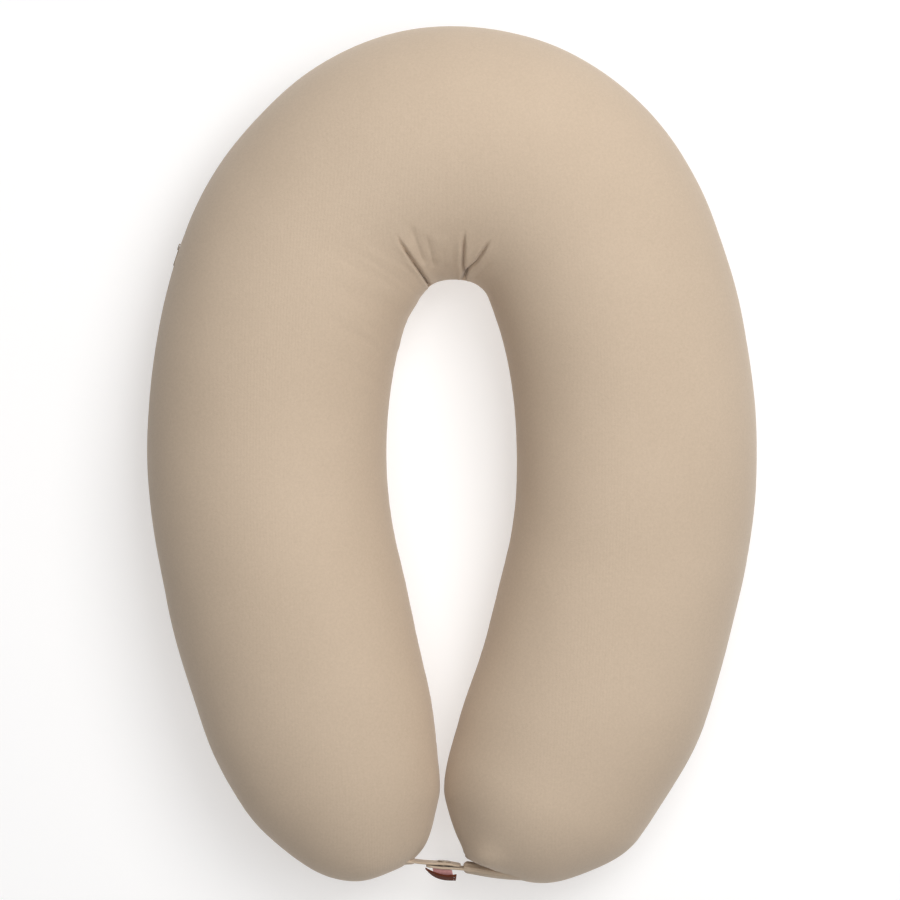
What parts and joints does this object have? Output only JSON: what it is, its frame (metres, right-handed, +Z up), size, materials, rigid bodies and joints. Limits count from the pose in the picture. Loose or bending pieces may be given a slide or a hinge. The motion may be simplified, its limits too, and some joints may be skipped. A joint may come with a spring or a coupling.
{
  "type": "nursing pillow",
  "caption": "Horseshoe nursing pillow with a zipped jersey cover over a zipped liner, its tips joined by a press-stud tab.",
  "frame": {"origin": "on the surface the pillow lies on, below the middle of its outline", "axes": "+Z up, +Y towards the crown of the horseshoe, +X to the right arm seen from above"},
  "size_m": [0.5478, 0.7718, 0.1797],
  "materials": {
    "cover_jersey": "soft brushed jersey knit, matte with a faint sheen",
    "liner_cotton": "plain woven cotton, matte",
    "fibre_filling": "loose white fibre, matte",
    "cover_zip_tape": "woven tape, matte",
    "cover_zip_coil": "nylon coil, satin",
    "zip_metal": "baked enamel, satin",
    "zip_stop_plastic": "moulded, satin",
    "liner_zip_tape": "woven tape, matte",
    "liner_zip_coil": "nylon coil, satin",
    "liner_zip_metal": "baked enamel, satin",
    "tab_cloth": "folded and topstitched jersey, matte",
    "snap_metal": "enamelled brass, satin",
    "label_leather": "soft red-brown leather, matte",
    "label_cloth": "woven ribbon, matte"
  },
  "bodies": {
    "right_half": {"cover_top_right": "cover_jersey", "cover_bottom_right": "cover_jersey", "liner_top_right": "liner_cotton", "liner_bottom_right": "liner_cotton", "filling_right": "fibre_filling", "liner_zip_tape_upper": "liner_zip_tape", "liner_zip_tape_lower": "liner_zip_tape", "liner_zip_chain_upper": "liner_zip_coil", "liner_zip_chain_lower": "liner_zip_coil", "liner_zip_top_stops": "liner_zip_coil", "liner_zip_bottom_stop": "liner_zip_coil", "end_tab_right_root": "tab_cloth"},
    "left_half": {"cover_top_left": "cover_jersey", "cover_bottom_left": "cover_jersey", "liner_top_left": "liner_cotton", "liner_bottom_left": "liner_cotton", "filling_left": "fibre_filling", "end_tab_left": "tab_cloth", "zip_tape_upper": "cover_zip_tape", "zip_tape_lower": "cover_zip_tape", "zip_chain_upper": "cover_zip_coil", "zip_chain_lower": "cover_zip_coil", "zip_top_stops": "zip_stop_plastic", "zip_bottom_stop": "zip_stop_plastic", "snap_stud": "snap_metal", "snap_stud_cap": "snap_metal"},
    "cover_slider": {"zip_slider": "zip_metal"},
    "cover_pull": {"zip_pull": "zip_metal"},
    "inner_slider": {"liner_zip_slider": "liner_zip_metal"},
    "peel_tab": {"end_tab_right": "tab_cloth", "snap_socket": "snap_metal", "snap_socket_cap": "snap_metal", "label_flap": "label_leather", "label_backing": "label_cloth"}
  },
  "joints": [
    {"name": "crown_bend", "type": "hinge", "parent": "right_half", "child": "left_half", "pos_m": [0, 0.38588, 0.084], "axis": [0, 0, -1], "range_deg": [0, 30]},
    {"name": "zip_travel", "type": "hinge", "parent": "left_half", "child": "cover_slider", "pos_m": [0.32072, 0.00449, 0.084], "axis": [0, 0, 1], "range_deg": [0, 28.9]},
    {"name": "pull_swing", "type": "hinge", "parent": "cover_slider", "child": "cover_pull", "pos_m": [-0.24437, 0.18755, 0.084], "axis": [0, 0, -1], "range_deg": [0, 150]},
    {"name": "liner_zip_travel", "type": "hinge", "parent": "right_half", "child": "inner_slider", "pos_m": [-0.32072, 0.00449, 0.084], "axis": [0, 0, -1], "range_deg": [0, 28.9]},
    {"name": "tab_peel", "type": "hinge", "parent": "right_half", "child": "peel_tab", "pos_m": [0.01495, -0.37212, 0.084], "axis": [0, 0, 1], "range_deg": [0, 85]}
  ]
}
